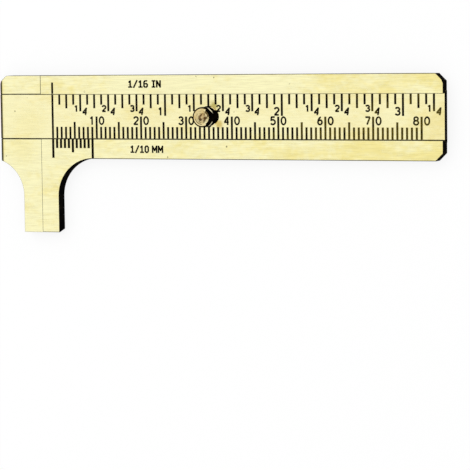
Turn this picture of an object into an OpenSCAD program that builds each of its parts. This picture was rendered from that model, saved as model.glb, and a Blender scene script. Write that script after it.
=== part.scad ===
// Pocket vernier caliper in brass, drawn closed and lying on its back.
// X runs along the scale from the reading index, Y = 0 is the centre line of the slide bar,
// and Z = 0 is the back face. The slide opens towards -X.

/* [Scale] */
// Length of the millimetre scale, which is also the longest opening
scale_length = 80; // [40:10:120]
// Divisions of the vernier, which spans one millimetre less than their number
vernier_divisions = 10; // [5:1:20]
// Distance from the fixed measuring face to the reading index
index_offset = 2.7; // [2:0.1:6]

/* [Frame] */
// Width over both rails
body_width = 17.25; // [15:0.05:24]
// Thickness of rails, blocks and jaws
body_thickness = 2.6; // [2.2:0.1:4]
// Width of the upper rail on the front
upper_rail_width = 3.85; // [3.6:0.05:5]
// Width of the lower rail on the front
lower_rail_width = 4.1; // [3.6:0.05:5]
// Thickness of the back plates
plate_thickness = 0.8; // [0.6:0.1:1.2]
// Width of the ledge by which a back plate lies under each rail
plate_lap = 2; // [1.6:0.1:2.4]
// How much wider than the opening the dovetail is at its foot, on each side
dovetail = 0.6; // [0.3:0.1:0.9]
// Length of the frame beyond the last millimetre line
frame_tail = 4.4; // [3:0.1:10]
// Corner chamfer at the tail of the frame
tail_chamfer = 1.5; // [0.5:0.1:3]
// Broken edge along the slideway
edge_break = 0.05; // [0.05:0.05:0.2]

/* [Jaws] */
// Reach of the jaws below the body
jaw_length = 15.4; // [11:0.1:30]
// Width of the fixed jaw
fixed_jaw_width = 3.85; // [2.5:0.05:8]
// Width of the moving jaw
moving_jaw_width = 4.2; // [2.5:0.1:8]
// Inside radius where a jaw meets the body
jaw_radius = 7.8; // [3:0.1:10]
// How far the end of a jaw leans in towards its back face
tip_lean = 0.6; // [0.1:0.1:1.5]

/* [Head] */
// Length of the head along the scale
head_length = 9.3; // [8:0.1:16]
// Radius of the head's outer corner
head_corner = 1.6; // [0.4:0.1:2.5]

/* [Slide bar] */
// Side play of the bar in the dovetail
slide_play = 0.1; // [0.05:0.01:0.2]
// Play between the bar and the back plate
slide_lift = 0.05; // [0.02:0.01:0.15]
// How far the bar stands out of the frame's tail when closed
bar_overhang = 0.3; // [0:0.05:3]

/* [Thumb knob] */
// Place of the knob on the millimetre scale
knob_place = 35.1; // [15:0.1:60]
// Diameter of the knob's foot
knob_foot = 4.3; // [3.6:0.1:6]
// Diameter of the knob's head
knob_head = 4.1; // [3:0.1:6]
// Diameter of the waist between foot and head
knob_waist = 2.8; // [2.4:0.1:4]
// Height of the knob above the bar
knob_height = 4; // [3.2:0.1:7]
// Height of the knob's foot, below the turned groove
knob_foot_height = 0.75; // [0.5:0.05:1]
// Height of the turned groove, whose bottom is the waist
knob_groove = 2; // [1.4:0.1:2.2]
// Depth of the dish in the knob's top
knob_dish = 0.36; // [0.2:0.02:0.4]
// Diameter of the rivet through the knob
knob_rivet_size = 1.4; // [1:0.1:1.8]

/* [Fixings] */
// Diameter of the pins that hold the back plates
pin_size = 1.1; // [0.8:0.1:1.3]
// Diameter of the countersunk pin heads
pin_head = 1.7; // [1.3:0.1:1.9]
// Pins in each rail
rail_pins = 5; // [3:1:8]
// Distance from the ends of a rail to its outer pins
rail_pin_inset = 4.5; // [3:0.1:8]
// Distance from the ends of the head to its pins
head_pin_inset = 2.2; // [1.5:0.1:3]
// Distance between the two rivets of the bar
rivet_spacing = 3.7; // [2.5:0.1:5]
// Diameter of the stop pin
stop_size = 1; // [0.8:0.1:1.4]
// Height of the stop pin above the back plate
stop_height = 0.6; // [0.4:0.1:0.9]
// Distance from the fixed measuring face to the stop pin
stop_inset = 1.6; // [1.2:0.1:3]
// Distance from the bar's centre line to the stop pin
stop_offset = 2.9; // [2.4:0.1:3.1]

/* [Friction spring] */
// Length of the bowed leaf
spring_length = 5; // [3.5:0.1:6]
// Width of the leaf
spring_width = 3; // [2:0.1:3.4]
// Thickness of the leaf
spring_leaf = 0.15; // [0.1:0.01:0.2]
// Depth of the pocket that the leaf sits in
spring_pocket = 0.55; // [0.4:0.05:0.8]

/* [Engraving] */
// Depth of the engraved lines and numerals
engraving_depth = 0.15; // [0.1:0.01:0.25]
// Width of the scale lines
line_width = 0.46; // [0.15:0.01:0.5]
// Width of the vernier lines
vernier_line_width = 0.54; // [0.15:0.01:0.6]
// Stroke of the numerals
numeral_stroke = 0.36; // [0.14:0.01:0.36]
// Height of the millimetre numerals
mm_numeral = 1.85; // [1.2:0.05:1.9]
// Height of the inch numerals
inch_numeral = 1.8; // [1.2:0.05:1.9]
// Height of the numerals of the quarter inches
quarter_numeral = 1.5; // [1:0.05:1.5]

/* [Hidden] */
$fn = 64;
// Overrun of a cut past a face
over = 1;
// Clearances between fitted pieces
press = 0.01;
seat = 0.03;
closing_gap = 0.02;
paint_proud = 0.01;
inch = 25.4;
// Walls, room and small edges
pin_wall = 0.15;
pin_cover = 0.6;
stop_room = 0.15;
spring_room = 0.2;
spring_side_room = 0.1;
spring_slack = 0.02;
spring_end_wall = 0.7;
knob_edge = 0.1;
knob_top_edge = 0.12;
knob_dish_floor = 0.34;
knob_dish_slope = 0.24;
rivet_sink = 0.45;
rivet_spread = 0.15;
rivet_taper = 0.4;
rivet_end = 0.24;
// Rows and proportions of the numerals
mm_row_top = 0.08;
inch_row_foot = 0.16;
bare_bar_end = 1.4;
numeral_aspect = 0.7;
mm_spacing = 0.61;
inch_spacing = 0.62;
quarter_left_spacing = 0.65;
quarter_right_spacing = 0.7;
four_slant = 0.15;
quarter_aspect = 0.74;
four_growth = 1.12;
quarter_weight = 0.97;
loop_steps = 24;
// Places and sizes that follow from the values above
gap_half = (body_width - upper_rail_width - lower_rail_width) / 2;
upper_edge = gap_half + upper_rail_width;
lower_edge = gap_half + lower_rail_width;
foot_half = gap_half + dovetail;
plate_half = foot_half + plate_lap;
pin_line = plate_half - pin_wall - pin_head / 2;
flank_top = body_thickness - edge_break;
flank_run = dovetail / (flank_top - plate_thickness);
bar_bottom = plate_thickness + slide_lift;
bar_half = gap_half - slide_play;
bar_foot = bar_half + flank_run * (flank_top - bar_bottom);
face_x = -index_offset;
frame_end = scale_length + frame_tail;
bar_end = frame_end + bar_overhang;
head_right = face_x - closing_gap;
head_left = head_right - head_length;
jaw_tip = -lower_edge - jaw_length;
tip_slope = tip_lean / body_thickness;
pin_top = body_thickness - pin_cover;
pin_sink = (pin_head - pin_size) / 2;
first_pin = face_x + rail_pin_inset;
last_pin = frame_end - rail_pin_inset;
stop_x = face_x + stop_inset;
head_middle = (head_left + head_right) / 2;
spring_x = bar_end - spring_end_wall - spring_room - spring_length / 2;
spring_rise = slide_lift + spring_pocket - spring_leaf - spring_slack;
engraving_floor = body_thickness - engraving_depth;
knob_base = body_thickness + paint_proud;
// Lines divide the half width of the bar, or the width of a rail, between them
mm_length = bar_half * 0.53;
five_length = bar_half * 0.755;
ten_length = bar_half;
sixteenth_length = bar_half * 0.465;
eighth_length = bar_half * 0.63;
quarter_length = bar_half * 0.765;
inch_length = bar_half * 0.97;
index_length = upper_rail_width * 0.61;
vernier_short = lower_rail_width * 0.465;
vernier_middle = lower_rail_width * 0.68;
vernier_zero = lower_rail_width * 0.965;
vernier_last = lower_rail_width * 0.985;
vernier_pitch = (vernier_divisions - 1) / vernier_divisions;
sixteenths = floor((bar_end - bare_bar_end) / (inch / 16));
mm_row = mm_row_top - mm_numeral / 2;
inch_row = inch_row_foot + inch_numeral / 2;
quarter_left_row = bar_half * 0.36;
quarter_right_row = bar_half * 0.23;

// Draws a section, given as Y and Z, along X.
module along_x(x0, x1) {
    translate([x0, 0, 0])
        rotate([90, 0, 90])
            linear_extrude(x1 - x0)
                children();
}

// Section of a rail: a dovetail flank to the bar, and a rebate for the back plate underneath.
module rail_section(edge) {
    polygon([
        [edge, 0],
        [edge, body_thickness],
        [gap_half + edge_break, body_thickness],
        [gap_half, flank_top],
        [foot_half, plate_thickness],
        [plate_half + seat, plate_thickness],
        [plate_half + seat, 0]
    ]);
}

// Section of the slide bar, parallel to the flanks of the rails.
module bar_section() {
    polygon([
        [-bar_foot, bar_bottom],
        [bar_foot, bar_bottom],
        [bar_half, flank_top],
        [bar_half - edge_break, body_thickness],
        [edge_break - bar_half, body_thickness],
        [-bar_half, flank_top]
    ]);
}

// A jaw below the body, drawn from its measuring face outwards, with the web that the radius leaves.
module jaw(width, web) {
    reach = min(web, jaw_radius);
    root = -lower_edge + lower_rail_width / 4;
    radius_end = -lower_edge - jaw_radius;
    difference() {
        linear_extrude(body_thickness)
            polygon([
                [0, root],
                [width + reach, root],
                [width + reach, radius_end],
                [width, radius_end],
                [width, jaw_tip - over],
                [0, jaw_tip - over]
            ]);
        translate([width + jaw_radius, radius_end, -over])
            cylinder(r = jaw_radius, h = body_thickness + 2 * over);
        along_x(-over, width + over)
            tip_section();
    }
}

// What is cut off below a jaw, so that its end leans in towards the back.
module tip_section() {
    polygon([
        [jaw_tip - tip_slope * over, body_thickness + over],
        [jaw_tip - 2 * over, body_thickness + over],
        [jaw_tip - 2 * over, -over],
        [jaw_tip + tip_lean + tip_slope * over, -over]
    ]);
}

// Cuts one tail corner of the frame, on the side that side gives as 1 or -1.
module tail_corner(side) {
    translate([frame_end, side > 0 ? upper_edge : -lower_edge, -over])
        rotate([0, 0, 45])
            translate([-tail_chamfer / sqrt(2), -tail_chamfer / sqrt(2), 0])
                cube([sqrt(2) * tail_chamfer, sqrt(2) * tail_chamfer, body_thickness + 2 * over]);
}

// A blind pin with a countersunk head flush with the back, or the hole for it.
module back_pin(size, top, room = 0) {
    translate([0, 0, room > 0 ? -over : 0])
        cylinder(d = size + 2 * room, h = top + room + (room > 0 ? over : 0));
    cylinder(d1 = pin_head + 2 * room, d2 = size + 2 * room, h = pin_sink);
}

module rail_pin_places(side) {
    for (i = [0 : rail_pins - 1])
        translate([first_pin + (last_pin - first_pin) * i / (rail_pins - 1), side * pin_line, 0])
            children();
}

module head_pin_places(side) {
    for (x = [head_left + head_pin_inset, head_right - head_pin_inset])
        translate([x, side * pin_line, 0])
            children();
}

module rivet_places() {
    for (x = [head_middle - rivet_spacing / 2, head_middle + rivet_spacing / 2])
        translate([x, 0, 0])
            children();
}

// The engraved groove of a flat pattern, or the enamel that fills it.
module groove() {
    translate([0, 0, engraving_floor])
        linear_extrude(engraving_depth + over)
            children();
}

module enamel() {
    color([0.05, 0.05, 0.05])
        translate([0, 0, engraving_floor])
            linear_extrude(engraving_depth + paint_proud)
                children();
}

// A line at x, from y0 to y1.
module line(x, y0, y1, width) {
    translate([x - width / 2, min(y0, y1)])
        square([width, abs(y1 - y0)]);
}

module index_pattern(thin = 0) {
    edge = gap_half + edge_break;
    line(0, edge, edge + index_length, line_width - thin);
}

function vernier_length(i) =
    i == 0 ? vernier_zero :
    i == vernier_divisions ? vernier_last :
    2 * i == vernier_divisions ? vernier_middle : vernier_short;

module vernier_pattern(thin = 0) {
    edge = -gap_half - edge_break;
    for (i = [0 : vernier_divisions])
        line(i * vernier_pitch, edge, -gap_half - vernier_length(i), vernier_line_width - thin);
}

module zero_pattern(thin = 0) {
    line(0, edge_break - bar_half, bar_half - edge_break, line_width - thin);
}

function mm_line_length(i) = i % 10 == 0 ? ten_length : i % 5 == 0 ? five_length : mm_length;

module mm_pattern(thin = 0) {
    for (i = [1 : scale_length])
        line(i, edge_break - bar_half, mm_line_length(i) - bar_half, line_width - thin);
}

function inch_line_length(i) =
    i % 16 == 0 ? inch_length :
    i % 4 == 0 ? quarter_length :
    i % 2 == 0 ? eighth_length : sixteenth_length;

module inch_pattern(thin = 0) {
    for (i = [1 : sixteenths])
        line(i * inch / 16, bar_half - edge_break, bar_half - inch_line_length(i), line_width - thin);
}

// Numerals are drawn as strokes in a unit box, from its lower left corner.
function arc(cx, cy, rx, ry, from, to, steps = 9) =
    [for (i = [0 : steps]) let (a = from + (to - from) * i / steps) [cx + rx * cos(a), cy + ry * sin(a)]];

function numeral_strokes(d) =
    d == 1 ? [[[0.62, -0.08], [0.62, 1.08]], [[0.62, 1], [0.2, 0.76]]] :
    d == 2 ? [concat(arc(0.5, 0.72, 0.5, 0.28, 170, -30), [[0, 0]]), [[-0.05, 0], [1, 0]]] :
    d == 3 ? [arc(0.48, 0.76, 0.46, 0.24, 160, -95), arc(0.48, 0.27, 0.52, 0.27, 95, -160)] :
    d == 4 ? [[[0.74, 1], [0, 0.3]], [[-0.08, 0.3], [1, 0.3]], [[0.74, 1.08], [0.74, -0.08]]] :
    d == 5 ? [[[0.06, 1], [0.92, 1]], [[0.16, 1], [0.08, 0.48]], arc(0.46, 0.32, 0.54, 0.32, 135, -150)] :
    d == 6 ? [
        concat(arc(0.86, 0.3, 0.8, 0.7, 100, 172), arc(0.5, 0.31, 0.46, 0.31, 180, 450)),
        [[0.56, 0.6], [0.1, 0.53]]
    ] :
    d == 7 ? [[[0, 1], [1.05, 1]], [[1, 1], [0.36, 0]]] :
    d == 9 ? [for (path = numeral_strokes(6)) [for (p = path) [1 - p[0], 1 - p[1]]]] : [];

// Closed loops of a numeral: centre and radii in the unit box.
function numeral_loops(d) =
    d == 0 ? [[0.5, 0.5, 0.5, 0.5]] :
    d == 8 ? [[0.5, 0.77, 0.43, 0.23], [0.5, 0.27, 0.5, 0.27]] : [];

function unit(v) = v / norm(v);
function side_of(v) = [-v[1], v[0]];
function mitre(path, i) =
    let (
        last = len(path) - 1,
        before = unit(path[max(i, 1)] - path[max(i, 1) - 1]),
        after = unit(path[min(i, last - 1) + 1] - path[min(i, last - 1)]),
        sum = side_of(before) + side_of(after)
    ) 2 * sum / (sum * sum);

// A line of the given width along a path.
module stroke(path, width) {
    last = len(path) - 1;
    polygon(concat(
        [for (i = [0 : last]) path[i] + mitre(path, i) * width / 2],
        [for (i = [last : -1 : 0]) path[i] - mitre(path, i) * width / 2]
    ));
}

// A numeral with its centre at x, y.
module numeral(d, x, y, height, thin = 0, aspect = numeral_aspect, slant = 0, weight = 1) {
    pen = weight * numeral_stroke;
    box = [aspect * height - pen, height - pen];
    translate([x - box[0] / 2, y - box[1] / 2]) {
        for (path = numeral_strokes(d))
            stroke(
                [for (p = path) [p[0] * box[0] + slant * (p[1] - 0.5) * box[1], p[1] * box[1]]],
                pen - thin
            );
        for (l = numeral_loops(d))
            difference() {
                ring(l, box, (pen - thin) / 2);
                ring(l, box, (thin - pen) / 2);
            }
    }
}

// The outline of a loop, grown by a margin.
module ring(l, box, margin) {
    radii = [l[2] * box[0] + margin, l[3] * box[1] + margin];
    turn = 360 * (1 - 1 / loop_steps);
    polygon(arc(l[0] * box[0], l[1] * box[1], radii[0], radii[1], 0, turn, loop_steps - 1));
}

// The tens stand left of each ten line and the nought right of it.
module mm_numeral_pattern(thin = 0) {
    pitch = mm_spacing * mm_numeral;
    for (i = [10 : 10 : scale_length]) {
        numeral(floor(i / 10) % 10, i - pitch, mm_row, mm_numeral, thin);
        numeral(0, i + pitch, mm_row, mm_numeral, thin);
        if (i >= 100)
            numeral(floor(i / 100), i - 2.05 * pitch, mm_row, mm_numeral, thin);
    }
}

// Whole inches stand left of their line, and quarters are split by theirs.
module inch_numeral_pattern(thin = 0) {
    for (i = [4 : 4 : sixteenths]) {
        x = i * inch / 16;
        if (i % 16 == 0) {
            numeral(i / 16, x - inch_spacing * inch_numeral, inch_row, inch_numeral, thin);
        } else {
            numeral(
                i % 16 / 4, x - quarter_left_spacing * quarter_numeral, quarter_left_row,
                quarter_numeral, thin, quarter_aspect, 0, quarter_weight
            );
            numeral(
                4, x + quarter_right_spacing * quarter_numeral, quarter_right_row,
                four_growth * quarter_numeral, thin, quarter_aspect, four_slant, quarter_weight
            );
        }
    }
}

// Sheet that closes the slideway from behind, let into both rails.
module frame_back_plate() {
    color([0.78, 0.66, 0.36])
        difference() {
            translate([face_x, -plate_half, 0])
                cube([frame_end - face_x, 2 * plate_half, plate_thickness]);
            rail_pin_places(1)
                back_pin(pin_size, pin_top, press);
            rail_pin_places(-1)
                back_pin(pin_size, pin_top, press);
            translate([stop_x, stop_offset, -over])
                cylinder(d = stop_size + 2 * press, h = plate_thickness + 2 * over);
            for (side = [1, -1])
                tail_corner(side);
        }
}

module upper_rail() {
    color([0.87, 0.76, 0.45])
        difference() {
            along_x(face_x, frame_end)
                rail_section(upper_edge);
            tail_corner(1);
            rail_pin_places(1)
                back_pin(pin_size, pin_top, press);
            groove()
                index_pattern();
        }
}

// Lower rail and fixed jaw are one piece.
module fixed_jaw_rail() {
    color([0.87, 0.76, 0.45])
        difference() {
            union() {
                along_x(face_x, frame_end)
                    mirror([1, 0])
                        rail_section(lower_edge);
                translate([face_x, 0, 0])
                    jaw(fixed_jaw_width, frame_end - face_x - fixed_jaw_width);
            }
            tail_corner(-1);
            rail_pin_places(-1)
                back_pin(pin_size, pin_top, press);
            groove()
                vernier_pattern();
        }
}

module upper_rail_pins() {
    color([0.72, 0.58, 0.3])
        rail_pin_places(1)
            back_pin(pin_size, pin_top);
}

module lower_rail_pins() {
    color([0.72, 0.58, 0.3])
        rail_pin_places(-1)
            back_pin(pin_size, pin_top);
}

// Pin that runs in the bar's groove and ends its travel.
module stop_pin() {
    color([0.72, 0.58, 0.3])
        translate([stop_x, stop_offset, 0])
            cylinder(d = stop_size, h = plate_thickness + stop_height);
}

module index_line() {
    enamel()
        index_pattern(2 * press);
}

module vernier_lines() {
    enamel()
        vernier_pattern(2 * press);
}

// Dovetailed bar with both scales, a stop groove and a spring pocket underneath.
module slide_bar() {
    groove_width = stop_size + 2 * stop_room;
    groove_length = scale_length + groove_width;
    pocket = [spring_length + 2 * spring_room, spring_width + 2 * spring_side_room];
    color([0.9, 0.79, 0.48])
        difference() {
            along_x(head_left, bar_end)
                bar_section();
            translate([stop_x - groove_width / 2, stop_offset - groove_width / 2, bar_bottom - over])
                cube([groove_length, groove_width, over + stop_height - slide_lift + stop_room]);
            translate([spring_x - pocket[0] / 2, -pocket[1] / 2, bar_bottom - over])
                cube([pocket[0], pocket[1], over + spring_pocket]);
            rivet_places()
                back_pin(pin_size, pin_top, press);
            translate([knob_place, 0, 0])
                knob_rivet_shank(press);
            groove()
                zero_pattern();
            groove()
                mm_pattern();
            groove()
                inch_pattern();
            groove()
                mm_numeral_pattern();
            groove()
                inch_numeral_pattern();
        }
}

module head_back_plate() {
    color([0.78, 0.66, 0.36])
        difference() {
            translate([head_left, -plate_half, 0])
                cube([head_length, 2 * plate_half, plate_thickness]);
            for (side = [1, -1])
                head_pin_places(side)
                    back_pin(pin_size, pin_top, press);
            rivet_places()
                back_pin(pin_size, pin_top, press);
        }
}

// Block above the bar's end, with one rounded corner.
module head_block() {
    color([0.87, 0.76, 0.45])
        difference() {
            along_x(head_left, head_right)
                rail_section(upper_edge);
            difference() {
                translate([head_left - over, upper_edge - head_corner, -over])
                    cube([head_corner + over, head_corner + over, body_thickness + 2 * over]);
                translate([head_left + head_corner, upper_edge - head_corner, -2 * over])
                    cylinder(r = head_corner, h = body_thickness + 4 * over);
            }
            head_pin_places(1)
                back_pin(pin_size, pin_top, press);
        }
}

// Block below the bar's end, in one piece with the moving jaw.
module moving_jaw() {
    color([0.87, 0.76, 0.45])
        difference() {
            union() {
                along_x(head_left, head_right)
                    mirror([1, 0])
                        rail_section(lower_edge);
                translate([head_right, 0, 0])
                    mirror([1, 0, 0])
                        jaw(moving_jaw_width, head_length - moving_jaw_width);
            }
            head_pin_places(-1)
                back_pin(pin_size, pin_top, press);
        }
}

module head_pins() {
    color([0.72, 0.58, 0.3])
        for (side = [1, -1])
            head_pin_places(side)
                back_pin(pin_size, pin_top);
}

// Rivets that hold the bar's end to the head.
module bar_rivets() {
    color([0.72, 0.58, 0.3])
        rivet_places()
            back_pin(pin_size, pin_top);
}

// Turned thumb piece with a waist and a dished top.
module thumb_knob() {
    waist_radius = knob_groove / 2;
    waist_place = knob_foot_height + waist_radius;
    bore = knob_rivet_size / 2 + press;
    dish_floor = bore + knob_dish_floor;
    color([0.93, 0.82, 0.52])
        translate([knob_place, 0, knob_base])
            rotate_extrude()
                difference() {
                    polygon([
                        [bore, 0],
                        [knob_foot / 2 - knob_edge, 0],
                        [knob_foot / 2, knob_edge],
                        [knob_foot / 2, waist_place],
                        [knob_head / 2, waist_place],
                        [knob_head / 2, knob_height - knob_top_edge],
                        [knob_head / 2 - knob_top_edge, knob_height],
                        [dish_floor + knob_dish_slope, knob_height],
                        [dish_floor, knob_height - knob_dish],
                        [bore, knob_height - knob_dish]
                    ]);
                    translate([knob_waist / 2 + waist_radius, waist_place])
                        circle(r = waist_radius);
                }
}

// Shank and countersunk foot of the knob's rivet, or the hole for them.
module knob_rivet_shank(room = 0) {
    foot = knob_rivet_size + 2 * rivet_sink;
    extra = room > 0 ? over : 0;
    translate([0, 0, bar_bottom - extra])
        cylinder(d = knob_rivet_size + 2 * room, h = body_thickness - bar_bottom + over + extra);
    translate([0, 0, bar_bottom])
        cylinder(d1 = foot + 2 * room, d2 = knob_rivet_size + 2 * room, h = rivet_sink);
}

module knob_rivet() {
    top = knob_height - knob_dish;
    wide = knob_rivet_size + 2 * rivet_spread;
    color([0.72, 0.58, 0.3])
        translate([knob_place, 0, 0]) {
            knob_rivet_shank();
            translate([0, 0, body_thickness])
                cylinder(d = knob_rivet_size, h = top + paint_proud);
            translate([0, 0, knob_base + top])
                cylinder(d1 = wide, d2 = wide - 2 * rivet_taper, h = rivet_end);
        }
}

// Bowed leaf in the bar's pocket: its crown rubs on the back plate.
module friction_spring() {
    steps = 12;
    low = plate_thickness + press;
    bow = [
        for (i = [0 : steps])
            let (u = 2 * i / steps - 1)
                [u * spring_length / 2, spring_rise * u * u]
    ];
    color([0.6, 0.45, 0.25])
        translate([spring_x, spring_width / 2, low])
            rotate([90, 0, 0])
                linear_extrude(spring_width)
                    polygon(concat(bow, [for (i = [steps : -1 : 0]) bow[i] + [0, spring_leaf]]));
}

module zero_line() {
    enamel()
        zero_pattern(2 * press);
}

module mm_lines() {
    enamel()
        mm_pattern(2 * press);
}

module inch_lines() {
    enamel()
        inch_pattern(2 * press);
}

module mm_numerals() {
    enamel()
        mm_numeral_pattern(2 * press);
}

module inch_numerals() {
    enamel()
        inch_numeral_pattern(2 * press);
}

frame_back_plate();
upper_rail();
fixed_jaw_rail();
upper_rail_pins();
lower_rail_pins();
stop_pin();
index_line();
vernier_lines();
slide_bar();
head_back_plate();
head_block();
moving_jaw();
head_pins();
bar_rivets();
thumb_knob();
knob_rivet();
friction_spring();
zero_line();
mm_lines();
inch_lines();
mm_numerals();
inch_numerals();
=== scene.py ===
import math
import bmesh
import bpy
from mathutils import Matrix, Vector


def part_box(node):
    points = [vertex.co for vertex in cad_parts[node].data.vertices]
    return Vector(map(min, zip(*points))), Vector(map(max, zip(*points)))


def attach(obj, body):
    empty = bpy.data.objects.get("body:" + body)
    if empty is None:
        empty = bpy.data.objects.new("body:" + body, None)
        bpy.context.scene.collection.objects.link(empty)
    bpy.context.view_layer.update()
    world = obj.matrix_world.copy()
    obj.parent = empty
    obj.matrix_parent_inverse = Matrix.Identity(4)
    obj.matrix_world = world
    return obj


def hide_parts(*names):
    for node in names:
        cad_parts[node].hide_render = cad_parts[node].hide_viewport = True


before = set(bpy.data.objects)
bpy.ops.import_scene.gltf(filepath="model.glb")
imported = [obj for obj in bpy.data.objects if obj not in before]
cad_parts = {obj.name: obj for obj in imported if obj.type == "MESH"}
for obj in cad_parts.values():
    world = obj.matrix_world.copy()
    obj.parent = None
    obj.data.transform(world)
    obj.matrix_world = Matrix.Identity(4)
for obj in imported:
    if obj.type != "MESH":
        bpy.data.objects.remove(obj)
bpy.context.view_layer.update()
scene = bpy.context.scene
scene.view_settings.view_transform = "Standard"


# Viewpoint: a long lens above the tail of the caliper, looking down at the closed tool
# from 22 degrees to the right of straight above.
viewpoint = bpy.data.objects.new("viewpoint", bpy.data.cameras.new("viewpoint"))
viewpoint.data.sensor_width = 36
viewpoint.data.lens = 191.107
viewpoint.data.clip_start = 0.01
viewpoint.location = (0.225406, 0.017238, 0.471107)
viewpoint.rotation_euler = (-0.086726, 0.37506, -0.013851)
scene.collection.objects.link(viewpoint)
scene.camera = viewpoint


# Frame back plate: a strip of rolled brass sheet that closes the slideway from behind.
# It is let flush into both rails and held by countersunk pins. While the tool is closed,
# only its back and its end show, dull from storage, with fine rolling marks along it.
mm = 0.001
front_height = 2.6  # of the rails and the bar, in millimetres


def add_node(tree, kind, inputs=None, **settings):
    """Adds a shader node. Each input is a value, or the socket that feeds it."""
    made = tree.nodes.new(kind)
    for name, value in settings.items():
        setattr(made, name, value)
    for name, value in (inputs or {}).items():
        if isinstance(value, bpy.types.NodeSocket):
            tree.links.new(value, made.inputs[name])
        else:
            made.inputs[name].default_value = value
    return made


def calc(tree, operation, first, second=0.5):
    return add_node(
        tree, "ShaderNodeMath", {0: first, 1: second}, operation=operation
    ).outputs[0]


def spread(tree, value, low, high, to_low=0.0, to_high=1.0):
    """Carries a value from one range over to another, with soft ends."""
    return add_node(
        tree, "ShaderNodeMapRange",
        {"Value": value, "From Min": low, "From Max": high, "To Min": to_low, "To Max": to_high},
        interpolation_type="SMOOTHSTEP",
    ).outputs[0]


def tint(tree, share, under, over, way="MIX"):
    return add_node(
        tree, "ShaderNodeMix", {0: share, 6: under, 7: over}, data_type="RGBA", blend_type=way
    ).outputs[2]


def noise(tree, place, scale, size, detail=2.0, turn=0.0):
    """Noise with grains of a size in millimetres, drawn out along an axis where scale is small."""
    laid = add_node(
        tree, "ShaderNodeMapping", {"Vector": place, "Scale": scale, "Rotation": (0, 0, turn)}
    ).outputs[0]
    return add_node(
        tree, "ShaderNodeTexNoise", {"Vector": laid, "Scale": 1 / size, "Detail": detail}
    ).outputs[0]


def new_group(name, takes, gives):
    """A node group with its named inputs and outputs."""
    group = bpy.data.node_groups.new(name, "ShaderNodeTree")
    for label, kind, value in takes:
        socket = group.interface.new_socket(label, in_out="INPUT", socket_type=kind)
        if value is not None:
            socket.default_value = value
    for label, kind in gives:
        group.interface.new_socket(label, in_out="OUTPUT", socket_type=kind)
    made_in = group.nodes.new("NodeGroupInput")
    made_out = group.nodes.new("NodeGroupOutput")
    return group, made_in.outputs, made_out.inputs


def new_finish(name):
    """A material, its tree, its shader, its coordinates, and its place in millimetres."""
    made = bpy.data.materials.new(name)
    made.use_nodes = True
    tree = made.node_tree
    seen = add_node(tree, "ShaderNodeTexCoord").outputs
    place = add_node(
        tree, "ShaderNodeMapping", {"Vector": seen["Object"], "Scale": (1 / mm,) * 3}
    ).outputs[0]
    return made, tree, tree.nodes["Principled BSDF"], seen, place


# Slow change of tone over a brass face, with the place given in millimetres.
brass_tone, taken, given = new_group(
    "brass_tone",
    [("Place", "NodeSocketVector", None), ("Pale", "NodeSocketColor", (1, 1, 1, 1)),
     ("Warm", "NodeSocketColor", (1, 1, 1, 1)), ("Balance", "NodeSocketFloat", 0.5)],
    [("Color", "NodeSocketColor")],
)
patch_share = 0.65
tone_softness = 0.16
patches = noise(brass_tone, taken["Place"], (0.45, 1, 1), size=4.5, detail=3)
mottle = noise(brass_tone, taken["Place"], (0.7, 1, 1), size=0.9, detail=4)
both = calc(
    brass_tone, "ADD", calc(brass_tone, "MULTIPLY", patches, patch_share),
    calc(brass_tone, "MULTIPLY", mottle, 1 - patch_share),
)
low = calc(brass_tone, "SUBTRACT", taken["Balance"], tone_softness)
high = calc(brass_tone, "ADD", taken["Balance"], tone_softness)
toned = tint(brass_tone, spread(brass_tone, both, low, high), taken["Pale"], taken["Warm"])
brass_tone.links.new(toned, given["Color"])

# Fine marks that run along the metal, from drawing, rolling or rubbing down.
long_grain, taken, given = new_group(
    "long_grain",
    [("Place", "NodeSocketVector", None), ("Turn", "NodeSocketFloat", 0.0)],
    [("Grain", "NodeSocketFloat"), ("Scratch", "NodeSocketFloat")],
)
turned = add_node(
    long_grain, "ShaderNodeVectorRotate",
    {"Vector": taken["Place"], "Angle": taken["Turn"]}, rotation_type="Z_AXIS",
).outputs[0]
rows = noise(long_grain, turned, (0.05, 1, 1), size=0.16, detail=3)
long_grain.links.new(rows, given["Grain"])
hairs = noise(long_grain, turned, (0.03, 1, 1), size=0.11, detail=1, turn=0.06)
rare = noise(long_grain, turned, (1, 1, 1), size=5, detail=1)
scratch = calc(
    long_grain, "MULTIPLY",
    spread(long_grain, hairs, 0.66, 0.74), spread(long_grain, rare, 0.5, 0.62),
)
long_grain.links.new(scratch, given["Scratch"])

# Painted shade on the sides of a piece: a face is painted darker the further it turns from facing
# up, and a noise makes it patchy on all but the faces that look straight up.
side_shade, taken, given = new_group(
    "side_shade",
    [("Facing", "NodeSocketVector", None), ("Place", "NodeSocketVector", None),
     ("Clean", "NodeSocketFloat", 0.985), ("Dark", "NodeSocketFloat", 0.8)],
    [("Mask", "NodeSocketFloat"), ("Shade_Mottle", "NodeSocketFloat")],
)
upright = calc(
    side_shade, "ABSOLUTE",
    add_node(side_shade, "ShaderNodeSeparateXYZ", {0: taken["Facing"]}).outputs[2],
)
uneven = noise(side_shade, taken["Place"], (0.5, 1, 1), size=0.8, detail=4)
rubbed = calc(
    side_shade, "MULTIPLY", calc(side_shade, "SUBTRACT", uneven, 0.5),
    spread(side_shade, upright, 0.98, 0.999, 0.4, 0),
)
lean = calc(side_shade, "ADD", upright, rubbed)
dark_mask = spread(side_shade, lean, taken["Dark"], taken["Clean"], 1, 0)
side_shade.links.new(dark_mask, given["Mask"])
clouds = noise(side_shade, taken["Place"], (0.6, 1, 1), size=1.6, detail=3)
side_shade.links.new(clouds, given["Shade_Mottle"])

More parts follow.
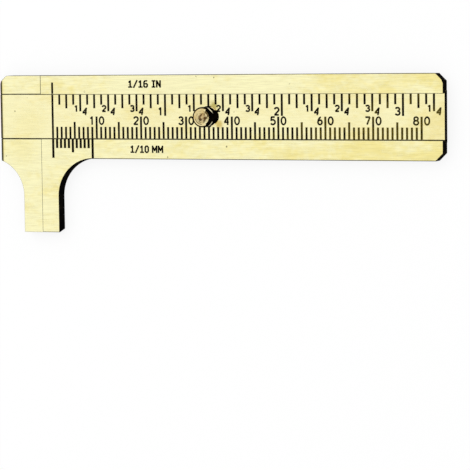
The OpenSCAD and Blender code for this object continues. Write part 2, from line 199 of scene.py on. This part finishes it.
# Small dents and specks of dirt, here and there.
stray_specks, taken, given = new_group(
    "stray_specks",
    [("Place", "NodeSocketVector", None), ("Spacing", "NodeSocketFloat", 9.0),
     ("Size", "NodeSocketFloat", 0.16)],
    [("Mask", "NodeSocketFloat")],
)
unrest = add_node(
    stray_specks, "ShaderNodeTexNoise", {"Vector": taken["Place"], "Scale": 3.0}
).outputs["Color"]
ragged = add_node(
    stray_specks, "ShaderNodeVectorMath", {0: taken["Place"], 1: unrest}, operation="ADD"
).outputs[0]
dots = add_node(
    stray_specks, "ShaderNodeTexVoronoi",
    {"Vector": ragged, "Scale": calc(stray_specks, "DIVIDE", 1.0, taken["Spacing"])},
    voronoi_dimensions="2D",
).outputs
reach = calc(
    stray_specks, "MULTIPLY", calc(stray_specks, "DIVIDE", taken["Size"], taken["Spacing"]),
    add_node(stray_specks, "ShaderNodeSeparateXYZ", {0: dots["Color"]}).outputs[0],
)
half_reach = calc(stray_specks, "MULTIPLY", reach, 0.5)
stray_specks.links.new(
    spread(stray_specks, dots["Distance"], half_reach, reach, 1, 0), given["Mask"]
)


def brass(name, pale, warm, balance=0.5, rough=0.3, turn=0.0, streaks=0.1, clean=0.985, dark=0.8,
          warmer=0.0, ends=None, nicks=(), blots=(), axis=None, stain=None):
    """A brass finish with its tone, grain, painted shade on its sides and specks, on Object
    coordinates. It turns warmer towards the tail, and it is darkened in a narrow band at ends.
    nicks are places and sizes in millimetres, and blots have a share and a colour too. A turned
    piece has its marks round axis, and a stain with its outer, inner and clean radius and its
    colour."""
    made, tree, shader, seen, place = new_finish(name)
    along, across, _ = add_node(tree, "ShaderNodeSeparateXYZ", {0: place}).outputs

    def group(kind, **values):
        return add_node(
            tree, "ShaderNodeGroup", {"Place": place, **values}, node_tree=kind
        ).outputs

    tailwards = calc(tree, "SUBTRACT", along, across)
    lean = calc(tree, "SUBTRACT", balance, spread(tree, tailwards, 15, 95, 0, warmer))
    if ends is not None:
        lean = calc(tree, "SUBTRACT", lean, spread(tree, along, ends + 1.2, ends, 0, 0.25))
    tone = group(brass_tone, Pale=(*pale, 1), Warm=(*warm, 1), Balance=lean)["Color"]
    # Painted shade on the faces that turn from up: its mask, and a mottle for its colour.
    side_shade_out = group(side_shade, Facing=seen["Normal"], Clean=clean, Dark=dark)
    speck = group(stray_specks)["Mask"]

    def ragged_distance(x, y, size, grain):
        off = add_node(
            tree, "ShaderNodeVectorMath", {0: place, 1: (x, y, front_height)}, operation="DISTANCE"
        ).outputs["Value"]
        unrest = noise(tree, place, (1, 1, 1), size=grain)
        return calc(tree, "ADD", off, calc(tree, "MULTIPLY", unrest, size))

    for x, y, size in nicks:
        nick = spread(tree, ragged_distance(x, y, size, 0.2), 0.9 * size, 1.5 * size, 1, 0)
        speck = calc(tree, "MAXIMUM", speck, nick)
    for x, y, size, share, blot_tone in blots:
        blot = spread(tree, ragged_distance(x, y, size, 0.6), 0.7 * size, 1.6 * size, share, 0)
        tone = tint(tree, blot, tone, (*blot_tone, 1))
    if axis is not None:
        centred = add_node(
            tree, "ShaderNodeMapping", {"Vector": place, "Location": (-axis / mm, 0, 0)}
        ).outputs[0]
        off = add_node(tree, "ShaderNodeSeparateXYZ", {0: centred}).outputs
        squares = [calc(tree, "MULTIPLY", off[i], off[i]) for i in (0, 1)]
        radius = calc(tree, "SQRT", calc(tree, "ADD", *squares))
        outer, inner, middle, stain_tone = stain
        smear = spread(tree, noise(tree, place, (1, 1, 1), size=0.6, detail=3), 0.38, 0.58)
        near = calc(
            tree, "MULTIPLY",
            spread(tree, radius, outer, inner), spread(tree, radius, middle / 3, middle),
        )
        tone = tint(tree, calc(tree, "MULTIPLY", near, smear), tone, (*stain_tone, 1))
        round_it = calc(tree, "MULTIPLY", calc(tree, "ARCTAN2", off[1], off[0]), turn)
        place = add_node(
            tree, "ShaderNodeCombineXYZ", {0: round_it, 1: radius, 2: off[2]}
        ).outputs[0]
        turn = 0.0
    grain = group(long_grain, Turn=turn)
    streak = spread(tree, grain["Grain"], 0.3, 0.7, 1 - streaks * 0.7, 1 + streaks * 0.3)
    colour = tint(tree, 1.0, tone, streak, "MULTIPLY")
    scratched = calc(tree, "MULTIPLY", grain["Scratch"], 0.35)
    colour = tint(tree, scratched, colour, (0.6, 0.5, 0.2, 1))
    colour = tint(tree, calc(tree, "MULTIPLY", speck, 0.8), colour, (0.1, 0.08, 0.03, 1))
    # The near-black colour of the painted side shade.
    shade_colour = tint(
        tree, spread(tree, side_shade_out["Shade_Mottle"], 0.45, 0.75),
        (0.001, 0.0009, 0.0008, 1), (0.007, 0.005, 0.003, 1),
    )
    # Where the painted side shade lies, together with a dark band along the end at ends.
    shade_and_end_band = side_shade_out["Mask"]
    if ends is not None:
        end_band = spread(tree, along, ends + 0.58, ends + 0.34, 0, 0.92)
        shade_and_end_band = calc(tree, "MAXIMUM", shade_and_end_band, end_band)
    bare = calc(tree, "SUBTRACT", 1.0, calc(tree, "MULTIPLY", shade_and_end_band, 0.95))
    worn = calc(
        tree, "ADD", spread(tree, grain["Grain"], 0.2, 0.8, rough - 0.05, rough + 0.07),
        calc(tree, "MULTIPLY", shade_and_end_band, 0.3),
    )
    relief = calc(tree, "SUBTRACT", grain["Grain"], calc(tree, "ADD", grain["Scratch"], speck))
    bump = add_node(
        tree, "ShaderNodeBump", {"Height": relief, "Strength": 0.25, "Distance": 0.008 * mm}
    ).outputs[0]
    tree.links.new(tint(tree, shade_and_end_band, colour, shade_colour), shader.inputs["Base Color"])
    tree.links.new(bare, shader.inputs["Metallic"])
    tree.links.new(worn, shader.inputs["Roughness"])
    tree.links.new(bump, shader.inputs["Normal"])
    shader.inputs["Specular IOR Level"].default_value = 0
    return made


def finish_node(node, finish):
    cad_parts[node].material_slots[0].material = finish


sheet_brass = brass(
    "sheet_brass", (0.80, 0.68, 0.34), (0.66, 0.52, 0.22), balance=0.48, rough=0.36, streaks=0.16
)
plate_low, plate_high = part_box("frame_back_plate")
finish_node("frame_back_plate", sheet_brass)


# Upper rail: a drawn brass bar with a dovetail flank towards the slide and a rebate for the
# back plate underneath. Its tail corner is cut off and eased, and its edges are broken. The
# flank is worn back a little at the head's end, where the gap to the bar is wider.
satin_brass = brass(
    "satin_brass", (0.985, 0.935, 0.56), (0.92, 0.81, 0.33), balance=0.62, rough=0.3,
    streaks=0.14, warmer=0.19, ends=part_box("head_block")[0].x / mm,
    nicks=((38.8, -6.1, 0.26), (36.2, 7.9, 0.2), (-10.9, -8.3, 0.16)),
    blots=((-7, -6.5, 4.5, 0.35, (0.92, 0.81, 0.33)),),
)
# Painted shade on broken edges: the bevel faces, and a ring on the knob's top, are painted near
# black.
painted_edge_shade = brass("painted_edge_shade", (0.3, 0.22, 0.09), (0.2, 0.14, 0.05), clean=1.4, dark=0.9)
dovetail = 0.6 * mm
tail_chamfer = 1.5 * mm
tail_easing = (1, 0.42, 0.097)
worn_end = 12 * mm
worn_depth = 0.07 * mm
plate_seam = 0.01 * mm
widest_break = 0.26 * mm
back_break = 0.05
corner_reach = 1.7 * mm
hair = 0.01 * mm
touching = 1e-7
rail_low, rail_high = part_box("upper_rail")


def rail_blank(start, end, side, edge):
    """A length of rail along X with its outer edge at edge, on the side of the slide that side
    gives as 1 or -1."""
    lap = plate_high.y + plate_seam
    made = bmesh.new()
    section = [
        (edge, 0), (edge, rail_high.z), (rail_low.y, rail_high.z),
        (rail_low.y + dovetail, plate_high.z), (lap, plate_high.z), (lap, 0),
    ]
    face = made.faces.new([made.verts.new((start, side * y, z)) for y, z in section])
    drawn = bmesh.ops.extrude_face_region(made, geom=[face])["geom"]
    far_end = [v for v in drawn if isinstance(v, bmesh.types.BMVert)]
    bmesh.ops.translate(made, verts=far_end, vec=(end - start, 0, 0))
    bmesh.ops.recalc_face_normals(made, faces=made.faces)
    return made


def divide(made, place, away, **settings):
    """Cuts a piece along a plane, and gives the edges of the cut."""
    cut = bmesh.ops.bisect_plane(
        made, geom=made.verts[:] + made.edges[:] + made.faces[:], dist=touching,
        plane_co=place, plane_no=away, **settings,
    )["geom_cut"]
    return [e for e in cut if isinstance(e, bmesh.types.BMEdge)]


def cut_corner(made, place, away):
    """Saws off what lies beyond a plane, and closes the cut."""
    bmesh.ops.edgeloop_fill(made, edges=divide(made, place, away, clear_outer=True))


def score(made, x):
    """Divides a piece across at x, so that it can change its shape there."""
    divide(made, (x, 0, 0), (1, 0, 0))


def break_edges(made, usual, **others):
    """Notes how wide each sharp edge is broken, in millimetres. On the front, way is the edge
    along the slideway, face the one at the measuring face, left the one at the far left, and
    usual the rest. Edges that the back plate covers stay sharp."""
    weight = made.edges.layers.float.new("bevel_weight_edge")
    left = min(v.co.x for v in made.verts)
    for e in made.edges:
        a, b = (v.co for v in e.verts)
        covered = (max(abs(a.y), abs(b.y)) < plate_high.y + 10 * hair
                   and max(a.z, b.z) < plate_high.z + hair)
        if covered or e.calc_face_angle(0) < math.radians(25):
            continue
        width = back_break
        if min(a.z, b.z) > rail_high.z - hair:
            width = usual
            if max(abs(a.y), abs(b.y)) < rail_low.y + hair:
                width = others.get("way", usual)
            elif max(abs(a.x - rail_low.x), abs(b.x - rail_low.x)) < 5 * hair:
                width = others.get("face", usual)
            elif max(a.x, b.x) < left + (corner_reach if min(a.y, b.y) > 0 else hair):
                width += (others.get("left", usual) - usual) * abs((b - a).normalized().y) ** 2
        e[weight] = width * mm / widest_break


def put_in_place(name, made, body, finish, slot, *nodes, smooth=20):
    """Makes the mesh an object that rides on its body and stands for its CAD nodes."""
    bmesh.ops.remove_doubles(made, verts=made.verts, dist=touching)
    bmesh.ops.recalc_face_normals(made, faces=made.faces)
    mesh = bpy.data.meshes.new(name)
    made.to_mesh(mesh)
    made.free()
    mesh.shade_smooth()
    mesh.set_sharp_from_angle(angle=math.radians(smooth))
    mesh.materials.append(finish)
    piece = bpy.data.objects.new(name, mesh)
    scene.collection.objects.link(piece)
    if "bevel_weight_edge" in mesh.attributes:
        for e, broken in zip(mesh.edges, mesh.attributes["bevel_weight_edge"].data):
            e.use_edge_sharp = e.use_edge_sharp and broken.value == 0
        mesh.materials.append(painted_edge_shade)
        rounding = piece.modifiers.new("broken_edges", "BEVEL")
        rounding.limit_method = "WEIGHT"
        rounding.width = widest_break
        rounding.segments = 3
        rounding.use_clamp_overlap = False
        rounding.harden_normals = True
        # The bevel faces take the second material, the painted edge shade.
        rounding.material = 1
        piece.modifiers.new("closed_seams", "WELD").merge_threshold = touching
    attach(piece, body)
    if nodes:
        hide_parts(*nodes)
    return piece


rail = rail_blank(rail_low.x, rail_high.x, 1, rail_high.y)
score(rail, worn_end)
for v in rail.verts:
    on_flank = v.co.y < plate_high.y and v.co.z > plate_low.z + 10 * hair
    if on_flank and v.co.x > worn_end - 10 * hair:
        v.co.y -= worn_depth
cut_corner(rail, (rail_high.x - tail_chamfer, rail_high.y, 0), (1, 1, 0))
cut_corner(rail, (rail_high.x, rail_high.y - tail_chamfer, plate_high.z), tail_easing)
break_edges(rail, 0.08, way=0.02, face=0.05)
put_in_place("upper_rail_bar", rail, "frame", satin_brass, "satin_brass", "upper_rail")


# Lower rail with the fixed jaw: one brass piece, rubbed down flat on the front. The jaw
# leaves the rail in a large radius. Its left side is the measuring face, its end leans in.
lower_width = 4.1 * mm
fixed_jaw_width = 3.85 * mm
jaw_radius = 7.8 * mm
tip_lean = 0.6 * mm
lower_edge = rail_low.y + lower_width
jaw_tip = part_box("fixed_jaw_rail")[0].y


def pull(made, face):
    """Draws a face out of the piece, and gives the face at its new place."""
    drawn = bmesh.ops.extrude_face_region(made, geom=[face])["geom"]
    made.faces.remove(face)
    return next(f for f in drawn if isinstance(f, bmesh.types.BMFace))


def grow_jaw(made, web_end, straight, side, steps=24):
    """Draws a jaw out of the rail's outer side, round the radius and then straight to its tip.
    side is 1 where the radius is on the right of the jaw, and -1 where it is on the left."""
    def middle(face):
        return face.calc_center_median()

    face = min(
        (f for f in made.faces if f.normal.y < -0.9 and side * middle(f).x < side * web_end),
        key=lambda f: middle(f).y,
    )
    start = math.acos(1 - side * (web_end - straight) / jaw_radius)
    full_quarter = start > 1.57  # then the first step lies in the rail's own side
    for step in range(1 if full_quarter else 0, steps + 1):
        angle = start * (1 - step / steps)
        face = pull(made, face)
        inner = sum(v.co.x for v in face.verts) / 4
        for v in face.verts:
            v.co.y = -lower_edge - jaw_radius * (1 - math.sin(angle))
            if side * v.co.x > side * inner:
                v.co.x = straight + side * jaw_radius * (1 - math.cos(angle))
    face = pull(made, face)
    for v in face.verts:
        v.co.y = jaw_tip + tip_lean * (1 - v.co.z / rail_high.z)
    bmesh.ops.recalc_face_normals(made, faces=made.faces)
    bmesh.ops.dissolve_limit(
        made, angle_limit=math.radians(0.5), use_dissolve_boundaries=False,
        verts=made.verts[:], edges=made.edges[:],
    )


fixed_side = rail_low.x + fixed_jaw_width
rail = rail_blank(rail_low.x, rail_high.x, -1, lower_edge)
score(rail, fixed_side + jaw_radius)
grow_jaw(rail, fixed_side + jaw_radius, fixed_side, 1)
cut_corner(rail, (rail_high.x - tail_chamfer, -lower_edge, 0), (1, -1, 0))
break_edges(rail, 0.14, way=0.1, face=0.03)
put_in_place("lower_rail_and_jaw", rail, "frame", satin_brass, "satin_brass", "fixed_jaw_rail")


# Pins of the frame: short brass wire pins, countersunk and filed flush with the back. They
# stop short of the front. The stop pin stands up from the back plate into the bar's groove.
rivet_brass = brass(
    "rivet_brass", (0.74, 0.58, 0.27), (0.52, 0.38, 0.15), rough=0.34, turn=0.9, streaks=0.2
)
for node in ("upper_rail_pins", "lower_rail_pins", "stop_pin"):
    finish_node(node, rivet_brass)


# Index and vernier lines: cuts of a graver across the inner edges of the rails, filled with
# black enamel that has gone brown and thin in places.
enamel_black = (0.004, 0.003, 0.001)
enamel_brown = (0.125, 0.093, 0.008)


def enamel(name, full, thin, worn):
    """A matt fill with the tones that it has where it is full and where it is thin. It is rubbed
    thin where its patches pass the value of worn, and sooner towards the tail."""
    made, tree, shader, _, place = new_finish(name)
    patches = noise(tree, place, (1, 0.5, 1), size=1.3, detail=3)
    grit = noise(tree, place, (1, 1, 1), size=0.12, detail=3)
    along = add_node(tree, "ShaderNodeSeparateXYZ", {0: place}).outputs[0]
    rubbed = calc(tree, "ADD", patches, spread(tree, along, 25, 75, -0.2, 0.27))
    share = calc(
        tree, "MULTIPLY", spread(tree, rubbed, worn, worn + 0.2), spread(tree, grit, 0.35, 0.6)
    )
    bump = add_node(
        tree, "ShaderNodeBump", {"Height": grit, "Strength": 0.3, "Distance": 0.01 * mm}
    ).outputs[0]
    tree.links.new(tint(tree, share, (*full, 1), (*thin, 1)), shader.inputs["Base Color"])
    tree.links.new(spread(tree, grit, 0.3, 0.7, 0.42, 0.62), shader.inputs["Roughness"])
    tree.links.new(bump, shader.inputs["Normal"])
    shader.inputs["Specular IOR Level"].default_value = 0.03
    return made


black_enamel = enamel("black_enamel", enamel_black, enamel_brown, worn=0.58)
for node in ("index_line", "vernier_lines"):
    finish_node(node, black_enamel)


# Graduation marks: plain bold figures cut into the middle of each rail, one sixteenth of an
# inch above and one tenth of a millimetre below, and filled with the same enamel.
figure_strokes = {
    "0": [(0, 0.2, 0, 0.8), (0, 0.8, 0.14, 1), (0.14, 1, 0.34, 1), (0.34, 1, 0.48, 0.8),
          (0.48, 0.8, 0.48, 0.2), (0.48, 0.2, 0.34, 0), (0.34, 0, 0.14, 0), (0.14, 0, 0, 0.2)],
    "1": [(0.24, 0, 0.24, 1), (0.24, 1, 0.05, 0.82), (0.02, 0, 0.46, 0)],
    "6": [(0.4, 1, 0.16, 1), (0.16, 1, 0, 0.8), (0, 0.8, 0, 0.15), (0, 0.15, 0.12, 0),
          (0.12, 0, 0.36, 0), (0.36, 0, 0.48, 0.15), (0.48, 0.15, 0.48, 0.42),
          (0.48, 0.42, 0.36, 0.56), (0.36, 0.56, 0, 0.5)],
    "/": [(0, -0.05, 0.48, 1.05)],
    "I": [(0.24, 0, 0.24, 1), (0.06, 0, 0.42, 0), (0.06, 1, 0.42, 1)],
    "N": [(0, 0, 0, 1), (0.5, 0, 0.5, 1), (0, 1, 0.5, 0)],
    "M": [(0, 0, 0, 1), (0.64, 0, 0.64, 1), (0, 1, 0.32, 0.3), (0.32, 0.3, 0.64, 1)],
    " ": [],
}
figure_height = 1.25 * mm
figure_weight = 0.3 * mm
figure_sink = 0.1 * mm
figure_gap = 0.3
word_gap = 0.1
mark_width = 7.4 * mm


def cut_figures(name, figures, x, y):
    """Figures that lie in the rail's face, a hair proud of it, centred at x and y."""
    made = bmesh.new()
    place = 0
    for figure in figures:
        strokes = figure_strokes[figure]
        for x0, y0, x1, y1 in strokes:
            low = Vector((place + x0 * figure_height, y0 * figure_height, 0))
            high = Vector((place + x1 * figure_height, y1 * figure_height, 0))
            run = high - low
            turn = Matrix.Rotation(math.atan2(run.y, run.x), 4, "Z")
            size = (run.length + figure_weight * 0.8, figure_weight, figure_sink, 1)
            laid = Matrix.Translation((low + high) / 2) @ turn @ Matrix.Diagonal(size)
            bmesh.ops.create_cube(made, size=1, matrix=laid)
        wide = max([max(x0, x1) for x0, y0, x1, y1 in strokes] or [word_gap])
        place += (wide + figure_gap) * figure_height
    low = min(v.co.x for v in made.verts)
    high = max(v.co.x for v in made.verts)
    bmesh.ops.translate(made, verts=made.verts, vec=(-(low + high) / 2, -figure_height / 2, 0))
    bmesh.ops.scale(made, verts=made.verts, vec=(mark_width / (high - low), 1, 1))
    bmesh.ops.translate(made, verts=made.verts, vec=(x, y, rail_high.z + hair - figure_sink / 2))
    put_in_place(name, made, "frame", black_enamel, "black_enamel")


cut_figures("sixteenth_mark", "1/16 IN", 20.9 * mm, 6.65 * mm)
cut_figures("tenth_mark", "1/10 MM", 21.2 * mm, -6.7 * mm)


# Slide bar: a drawn dovetail bar with both scales cut into its front and enamelled. Its underside
# has the groove for the stop pin and the pocket for the spring. The brown patches beside the knob
# are a painted reflection and shade of the knob, and the millimetre lines are rubbed thinner than
# the rest.
bar_brass = brass(
    "bar_brass", (0.975, 0.915, 0.54), (0.91, 0.8, 0.37), balance=0.6, rough=0.28, streaks=0.09,
    clean=0.6, dark=0.3, warmer=0.12, ends=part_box("slide_bar")[0].x / mm,
    nicks=((-8.7, 1.1, 0.2),),
    # The first two blots are the painted reflection and shade of the knob on the bar.
    blots=((36.0, 2.1, 1.25, 0.85, (0.47, 0.39, 0.09)),
           (37.2, -1.6, 1.15, 0.8, (0.64, 0.46, 0.1)),
           (-5.5, -1.5, 5, 0.3, (0.91, 0.8, 0.33))),
)
finish_node("slide_bar", bar_brass)
firm_enamel = enamel("firm_enamel", enamel_black, enamel_brown, worn=0.72)
for node in ("zero_line", "inch_lines", "mm_numerals", "inch_numerals"):
    finish_node(node, firm_enamel)
worn_enamel = enamel("worn_enamel", enamel_black, enamel_brown, worn=0.53)
finish_node("mm_lines", worn_enamel)


# Head: the back plate, the block above the bar and the moving jaw below it, pinned and
# riveted to the end of the bar so that they move as one. The block has a corner filed off.
head_corner = 1.35 * mm
moving_jaw_width = 4.2 * mm
finish_node("head_back_plate", sheet_brass)
for node in ("head_pins", "bar_rivets"):
    finish_node(node, rivet_brass)

head_low, head_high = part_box("head_block")
block = rail_blank(head_low.x, head_high.x, 1, rail_high.y)


def at_corner(v):
    return abs(v.co.x - head_low.x) + abs(v.co.y - head_high.y) < 1.1 * head_corner


for width, steps in ((head_corner, 1), (head_corner / 3, 4)):
    upright = [
        e for e in block.edges
        if abs(e.verts[0].co.z - e.verts[1].co.z) > 1 * mm and all(map(at_corner, e.verts))
    ]
    bmesh.ops.bevel(
        block, geom=upright, offset=width, offset_type="OFFSET", segments=steps, profile=0.5,
        affect="EDGES", material=-1,
    )
break_edges(block, 0.05, way=0.09, face=0.05, left=0.1)
put_in_place("head_upper_block", block, "slide", satin_brass, "satin_brass", "head_block")

jaw = rail_blank(head_low.x, head_high.x, -1, lower_edge)
grow_jaw(jaw, head_low.x, head_high.x - moving_jaw_width, -1)
break_edges(jaw, 0.05, way=0.13, face=0.03, left=0.1)
put_in_place("head_moving_jaw", jaw, "slide", satin_brass, "satin_brass", "moving_jaw")


# Friction spring: a bowed leaf of hard bronze in a pocket of the bar, which rubs on the
# back plate and keeps the slide where it is set.
spring_bronze = brass(
    "spring_bronze", (0.55, 0.36, 0.17), (0.38, 0.22, 0.09), clean=0.4, dark=0.2
)
finish_node("friction_spring", spring_bronze)


# Thumb knob: turned from brass rod, with a wide foot, a waist for the thumb nail and a
# dished top. Its body is painted near black as shade, its top is pale brass, and the streaks on
# its head and foot are painted highlights. All its radii, and its heights above the bar, are in
# millimetres.
knob_low, knob_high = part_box("thumb_knob")
knob_x = (knob_low.x + knob_high.x) / 2


def turned_piece(points, waist=None, steps=96):
    """Turns a closed profile of radii and heights round the knob's axis. A waist is hollowed out
    between the profile's ends, round a middle and by an angle."""
    made = bmesh.new()
    ring = [made.verts.new((knob_x + r * mm, 0, knob_low.z + z * mm)) for r, z in points]
    for first, second in zip(ring, ring[1:]):
        made.edges.new((first, second))
    if waist:
        r, z, angle = waist
        bmesh.ops.spin(
            made, geom=[ring[-1]], cent=(knob_x + r * mm, 0, knob_low.z + z * mm),
            axis=(0, 1, 0), angle=angle, steps=16,
        )
        made.verts.ensure_lookup_table()
        made.edges.new((made.verts[-1], ring[0]))
    bmesh.ops.spin(
        made, geom=made.verts[:] + made.edges[:], cent=(knob_x, 0, 0), axis=(0, 0, 1),
        angle=2 * math.pi, steps=steps, use_merge=True,
    )
    bmesh.ops.remove_doubles(made, verts=made.verts, dist=touching)
    bmesh.ops.recalc_face_normals(made, faces=made.faces)
    return made


# Painted shade: the knob's body is painted near black all over.
turned_brass = brass(
    "turned_brass", (0.6, 0.42, 0.15), (0.3, 0.2, 0.07), turn=3, clean=1.4, dark=1.25,
    axis=knob_x, stain=(1.9, 0.9, 0.1, (0.3, 0.19, 0.06)),
)
# Pale brass for the knob's top, and for the painted highlights on the foot.
pale_brass_and_highlight = brass(
    "pale_brass_and_highlight", (0.99, 0.9, 0.53), (0.64, 0.46, 0.17), balance=0.53, rough=0.2, turn=3,
    streaks=0.08, clean=-0.3, dark=-0.4,
    axis=knob_x, stain=(1.55, 0.8, 0.45, (0.07, 0.04, 0.01)),
)
# Brown painted shade for the far side of the knob's dish.
shaded_dish_brass = brass(
    "shaded_dish_brass", (0.24, 0.16, 0.06), (0.08, 0.055, 0.02), clean=-0.3, dark=-0.4
)
# Painted highlight: a pale matt colour for the streaks on the head.
painted_highlight = enamel("painted_highlight", (0.97, 0.9, 0.66), (0.86, 0.73, 0.42), worn=0.5)
knob_finishes = [turned_brass, pale_brass_and_highlight, painted_edge_shade, painted_highlight, shaded_dish_brass]

head_lip = (2, 2.6665)
foot_lip = (2.15, 0.7818)
head_side, head_foot = 2.05, 2.75
ring_inner, ring_outer, knob_top = 1.76, 1.86, 4
dish_edge = 1.5
rivet_hole = 0.71
waist_middle = (2.4, 1.75)


def waist_angle(lip):
    return math.atan2(lip[1] - waist_middle[1], lip[0] - waist_middle[0])


waist_turn = waist_angle(foot_lip) % (2 * math.pi) - waist_angle(head_lip)
knob = turned_piece(
    [head_lip, *((head_side, z) for z in (head_foot, 2.86, 2.98, 3.1, 3.22, 3.35, 3.88)),
     *((r, knob_top) for r in (1.93, ring_outer, ring_inner, dish_edge)),
     (1.4, 3.95), (1.2, 3.83), (1.05, 3.77), (0.9, 3.72), (rivet_hole, 3.69), (rivet_hole, 0),
     (2.05, 0), *((foot_lip[0], z) for z in (0.1, 0.25, 0.4, 0.6)), foot_lip],
    (*waist_middle, waist_turn),
)
for face in knob.faces:
    middle = face.calc_center_median()
    across, height = middle.y / mm, (middle.z - knob_low.z) / mm
    radius = math.hypot(middle.x - knob_x, middle.y) / mm
    slant = abs(across) / radius
    tailwards = middle.x > knob_x
    on_top = height > 3.6
    # Painted highlights: two lens-shaped streaks on the side of the head, the upper one taller,
    # and two on the foot.
    tall = (0.6 if across > 0 else 0.4) * (1 - ((slant - 0.68) / 0.28) ** 2)
    painted_head_highlight = tailwards and radius > 1.9 and 0.01 < height - head_foot < tall + 0.01
    low_enough = height < min(0.85, 2 * slant - 0.5)
    painted_foot_highlight = tailwards and radius > 1.85 and slant < 0.94 and low_enough
    # Painted shade on the wall of the dish towards the head, and brown painted shade on the far
    # side of the dish.
    shaded_dish_wall = not tailwards and 1.4 < radius < dish_edge and across < -0.3
    shaded_far_side = middle.x - knob_x > 0.5 * radius * mm and radius > (1.05 if across > 0.1 else 1.45)
    # Painted highlight on the head streaks, pale brass on the top and painted highlights on the
    # foot, painted shade on the dish wall and the top ring, brown painted shade on the far side of
    # the dish, and the painted dark body everywhere else.
    if painted_head_highlight:
        worn = painted_highlight
    elif painted_foot_highlight or (on_top and rivet_hole < radius < ring_inner and not shaded_dish_wall and not shaded_far_side):
        worn = pale_brass_and_highlight
    elif shaded_dish_wall or (height > knob_top - 0.01 and ring_inner < radius < ring_outer and not shaded_far_side):
        worn = painted_edge_shade
    elif shaded_far_side and on_top and radius < 1.6:
        worn = shaded_dish_brass
    else:
        worn = turned_brass
    face.material_index = knob_finishes.index(worn)
piece = put_in_place("thumb_piece", knob, "slide", turned_brass, "turned_brass", "thumb_knob")
for finish in knob_finishes[1:]:
    piece.data.materials.append(finish)
piece.visible_glossy = False


# Knob rivet: a brass pin through knob and bar, countersunk under the bar and peened over in
# the dish of the knob, where its worn end shows.
rivet_end = brass(
    "rivet_end", (0.95, 0.83, 0.5), (0.5, 0.33, 0.12), rough=0.24, turn=2, streaks=0.12,
    clean=0.5, dark=0.2, axis=knob_x, stain=(1.6, 0.8, 0.45, (0.1, 0.05, 0.014)),
)
rivet = turned_piece(
    [(0, -1.75), (1.15, -1.75), (0.7, -1.3), (0.7, 3.64), (0.85, 3.64), (0.82, 3.7),
     (0.74, 3.77), (0.5, 3.83), (0.25, 3.86), (0, 3.87)], steps=48,
)
piece = put_in_place(
    "knob_rivet_pin", rivet, "slide", rivet_end, "rivet_brass", "knob_rivet", smooth=30
)
piece.visible_glossy = False


# Studio: a white floor that keeps a faint shadow and is clear from below, a white sky that
# greys towards the horizon so that the metal has something to mirror, and one soft lamp.
floor_drop = 0.02 * mm
floor_glow = 0.85
sky_light = 0.8
horizon_grey = 0.65
tool_middle = Vector((0.036, 0, 0))
floor = bpy.data.objects.new("floor", bpy.data.meshes.new("floor"))
made = bmesh.new()
bmesh.ops.create_grid(made, x_segments=1, y_segments=1, size=3)
bmesh.ops.translate(made, verts=made.verts, vec=(0, 0, -floor_drop))
made.to_mesh(floor.data)
made.free()
scene.collection.objects.link(floor)


def background_ray(tree):
    """1 for the rays that see the background, straight or mirrored, and 0 for those that light."""
    ray = add_node(tree, "ShaderNodeLightPath").outputs
    mirrored = calc(tree, "MAXIMUM", ray["Is Glossy Ray"], ray["Is Transmission Ray"])
    return calc(tree, "MAXIMUM", ray["Is Camera Ray"], mirrored)


paper = bpy.data.materials.new("white_paper")
paper.use_nodes = True
tree = paper.node_tree
sheet = tree.nodes["Principled BSDF"]
sheet.inputs["Base Color"].default_value = (1, 1, 1, 1)
sheet.inputs["Roughness"].default_value = 0.9
sheet.inputs["Specular IOR Level"].default_value = 0
glow = add_node(tree, "ShaderNodeEmission", {"Color": (1, 1, 1, 1), "Strength": 1.0})
lit = add_node(tree, "ShaderNodeMixShader", {
    0: calc(tree, "MULTIPLY", background_ray(tree), floor_glow),
    1: sheet.outputs[0], 2: glow.outputs[0]})
one_sided = add_node(tree, "ShaderNodeMixShader", {
    0: add_node(tree, "ShaderNodeNewGeometry").outputs["Backfacing"],
    1: lit.outputs[0], 2: add_node(tree, "ShaderNodeBsdfTransparent").outputs[0]})
tree.links.new(one_sided.outputs[0], tree.nodes["Material Output"].inputs["Surface"])
floor.data.materials.append(paper)

lamp = bpy.data.objects.new("soft_lamp", bpy.data.lights.new("soft_lamp", "AREA"))
lamp.data.shape = "DISK"
lamp.data.size = 0.8
lamp.data.energy = 1.7
lamp.location = (-0.25, 0.3, 0.6)
lamp.rotation_euler = (tool_middle - lamp.location).to_track_quat("-Z", "Y").to_euler()
lamp.visible_glossy = False
scene.collection.objects.link(lamp)

sky = bpy.data.worlds.new("white_sky")
sky.use_nodes = True
scene.world = sky
tree = sky.node_tree
looking = add_node(tree, "ShaderNodeTexCoord").outputs["Generated"]
height = add_node(tree, "ShaderNodeSeparateXYZ", {0: looking}).outputs[2]
greying = spread(tree, height, 0.0, 0.25, horizon_grey, 1.0)
bright = tint(tree, background_ray(tree), (sky_light, sky_light, sky_light, 1), greying)
tree.nodes["Background"].inputs["Color"].default_value = (1, 1, 1, 1)
tree.links.new(bright, tree.nodes["Background"].inputs["Strength"])
